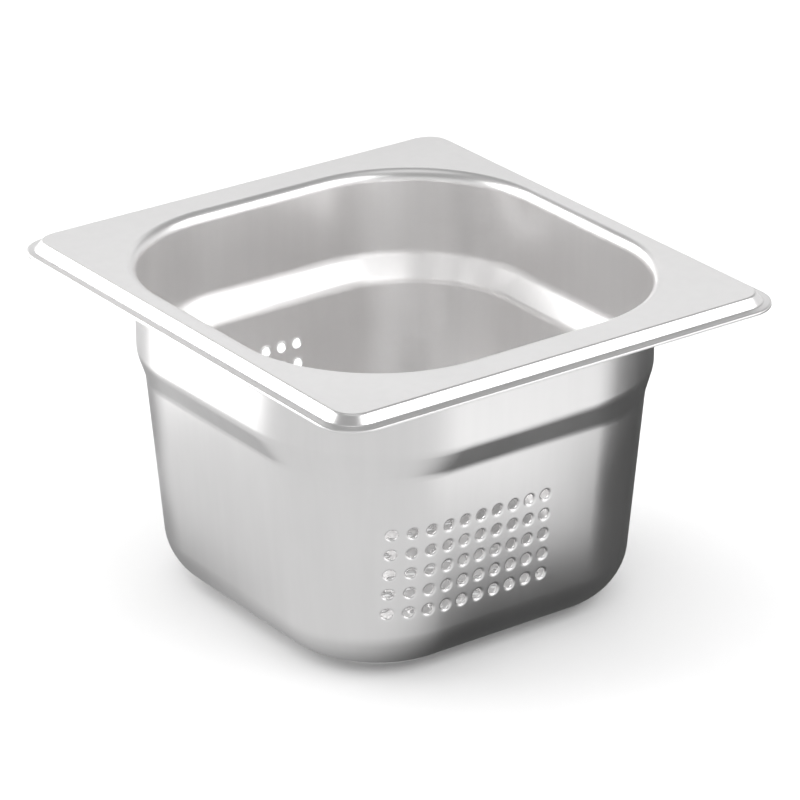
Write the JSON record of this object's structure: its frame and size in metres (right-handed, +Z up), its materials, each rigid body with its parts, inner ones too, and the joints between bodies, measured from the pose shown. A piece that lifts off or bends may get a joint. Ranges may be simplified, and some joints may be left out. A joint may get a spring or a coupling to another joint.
{
  "type": "perforated cheese mould",
  "caption": "Deep drawn rounded square steel pan with a stepped rim and drain holes, for moulding and draining cheese curd",
  "frame": {"origin": "centre of the flat underside of the base", "axes": "+Z up; the perforated walls face -Y and +Y; the rim is 162 mm along X and 176 mm along Y"},
  "size_m": [0.162, 0.176, 0.104],
  "materials": {
    "satin_steel": "satin drawn stainless steel with a fine grain"
  },
  "bodies": {
    "root": {"perforated_pan": "satin_steel"}
  },
  "joints": []
}
